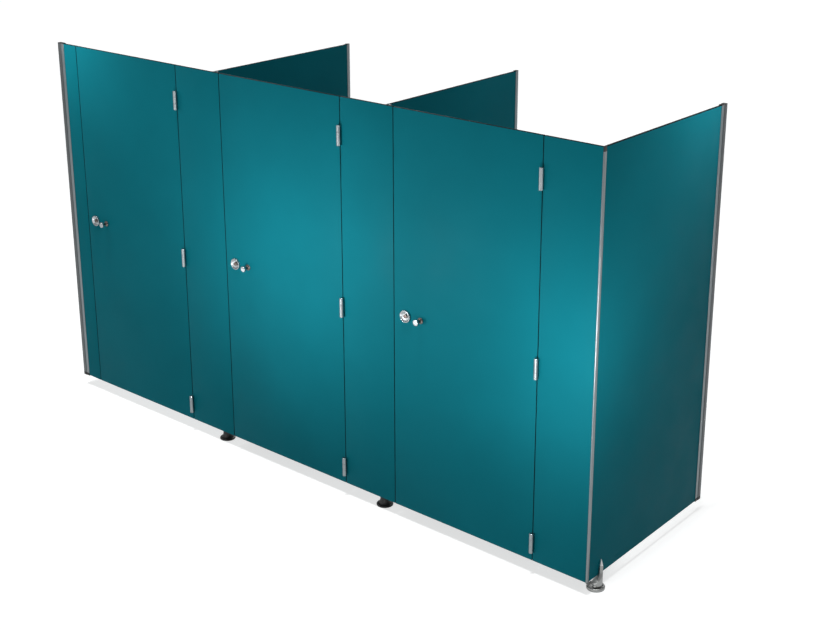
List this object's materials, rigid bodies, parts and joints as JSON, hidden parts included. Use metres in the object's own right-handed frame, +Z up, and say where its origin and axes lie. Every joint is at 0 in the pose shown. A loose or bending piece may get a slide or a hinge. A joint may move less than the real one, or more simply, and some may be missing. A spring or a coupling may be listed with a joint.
{
  "type": "toilet cubicle",
  "caption": "Row of toilet cubicles in compact laminate with outward-opening doors on barrel hinges, knob and rotary lock, partitions, wall channels and adjustable feet.",
  "frame": {"origin": "inside corner of the room on the floor: the plane of the left wall, the plane of the rear wall and the floor", "axes": "+X along the front from the left wall, +Y towards the rear wall (the doors face -Y), +Z up"},
  "size_m": [3.5095, 1.019, 2.003],
  "materials": {
    "panel_laminate": "satin",
    "anodised_aluminium": "satin",
    "satin_stainless": "brushed",
    "cast_steel": "satin",
    "zinc_plated_steel": "satin",
    "black_nylon": "matt",
    "black_rubber": "matt"
  },
  "bodies": {
    "frame": {"left_wall_channel": "anodised_aluminium", "left_channel_cover": "anodised_aluminium", "end_wall_channel": "anodised_aluminium", "end_channel_cover": "anodised_aluminium", "rear_wall_channel_1": "anodised_aluminium", "rear_wall_channel_2": "anodised_aluminium", "profile_caps": "black_nylon", "filler_panel": "panel_laminate", "pilaster_1": "panel_laminate", "pilaster_2": "panel_laminate", "pilaster_3": "panel_laminate", "partition_1": "panel_laminate", "partition_2": "panel_laminate", "end_panel": "panel_laminate", "corner_post": "anodised_aluminium", "partition_profiles": "anodised_aluminium", "profile_screws": "zinc_plated_steel", "hardware_screws": "zinc_plated_steel", "frame_leaves_1": "satin_stainless", "frame_leaves_2": "satin_stainless", "frame_leaves_3": "satin_stainless", "hinge_pins": "satin_stainless", "lock_keepers": "satin_stainless", "door_stops": "black_rubber", "foot_bracket_1": "black_nylon", "foot_bracket_2": "black_nylon", "end_foot_shell": "cast_steel"},
    "door_1": {"door_panel_1": "panel_laminate", "door_leaves_1": "satin_stainless", "door_screws_1": "zinc_plated_steel", "pull_knobs_1": "satin_stainless", "lock_rose_1": "cast_steel", "lock_case_1": "satin_stainless"},
    "lock_turn_1": {"lock_knob_1": "satin_stainless", "thumb_turn_1": "satin_stainless"},
    "bolt_1": {"lock_bolt_1": "cast_steel"},
    "foot_1": {"foot_base_1": "black_nylon", "foot_stem_1": "zinc_plated_steel"},
    "door_2": {"door_panel_2": "panel_laminate", "door_leaves_2": "satin_stainless", "door_screws_2": "zinc_plated_steel", "pull_knobs_2": "satin_stainless", "lock_rose_2": "cast_steel", "lock_case_2": "satin_stainless"},
    "lock_turn_2": {"lock_knob_2": "satin_stainless", "thumb_turn_2": "satin_stainless"},
    "bolt_2": {"lock_bolt_2": "cast_steel"},
    "foot_2": {"foot_base_2": "black_nylon", "foot_stem_2": "zinc_plated_steel"},
    "door_3": {"door_panel_3": "panel_laminate", "door_leaves_3": "satin_stainless", "door_screws_3": "zinc_plated_steel", "pull_knobs_3": "satin_stainless", "lock_rose_3": "cast_steel", "lock_case_3": "satin_stainless"},
    "lock_turn_3": {"lock_knob_3": "satin_stainless", "thumb_turn_3": "satin_stainless"},
    "bolt_3": {"lock_bolt_3": "cast_steel"},
    "foot_3": {"foot_base_3": "cast_steel", "foot_stem_3": "zinc_plated_steel"}
  },
  "joints": [
    {"name": "door_1_hinge", "type": "hinge", "parent": "frame", "child": "door_1", "pos_m": [0.951, -0.9903, 1.0325], "axis": [0, 0, 1], "range_deg": [0, 105]},
    {"name": "door_2_hinge", "type": "hinge", "parent": "frame", "child": "door_2", "pos_m": [2.069, -0.9903, 1.0325], "axis": [0, 0, 1], "range_deg": [0, 105]},
    {"name": "door_3_hinge", "type": "hinge", "parent": "frame", "child": "door_3", "pos_m": [3.187, -0.9903, 1.0325], "axis": [0, 0, 1], "range_deg": [0, 105]},
    {"name": "lock_1_turn", "type": "hinge", "parent": "door_1", "child": "lock_turn_1", "pos_m": [0.221, -0.967, 1.04], "axis": [0, -1, 0], "range_deg": [0, 90]},
    {"name": "lock_1_bolt", "type": "slide", "parent": "door_1", "child": "bolt_1", "axis": [-1, 0, 0], "range_m": [0, 0.022]},
    {"name": "lock_2_turn", "type": "hinge", "parent": "door_2", "child": "lock_turn_2", "pos_m": [1.339, -0.967, 1.04], "axis": [0, -1, 0], "range_deg": [0, 90]},
    {"name": "lock_2_bolt", "type": "slide", "parent": "door_2", "child": "bolt_2", "axis": [-1, 0, 0], "range_m": [0, 0.022]},
    {"name": "lock_3_turn", "type": "hinge", "parent": "door_3", "child": "lock_turn_3", "pos_m": [2.457, -0.967, 1.04], "axis": [0, -1, 0], "range_deg": [0, 90]},
    {"name": "lock_3_bolt", "type": "slide", "parent": "door_3", "child": "bolt_3", "axis": [-1, 0, 0], "range_m": [0, 0.022]},
    {"name": "foot_1_height", "type": "slide", "parent": "frame", "child": "foot_1", "axis": [0, 0, -1], "range_m": [-0.006, 0.012]},
    {"name": "foot_2_height", "type": "slide", "parent": "frame", "child": "foot_2", "axis": [0, 0, -1], "range_m": [-0.006, 0.012]},
    {"name": "foot_3_height", "type": "slide", "parent": "frame", "child": "foot_3", "axis": [0, 0, -1], "range_m": [0, 0.012]}
  ],
  "couplings": [
    {"joint": "lock_1_bolt", "follows": "lock_1_turn", "m_per_rad": 0.014},
    {"joint": "lock_2_bolt", "follows": "lock_2_turn", "m_per_rad": 0.014},
    {"joint": "lock_3_bolt", "follows": "lock_3_turn", "m_per_rad": 0.014}
  ]
}
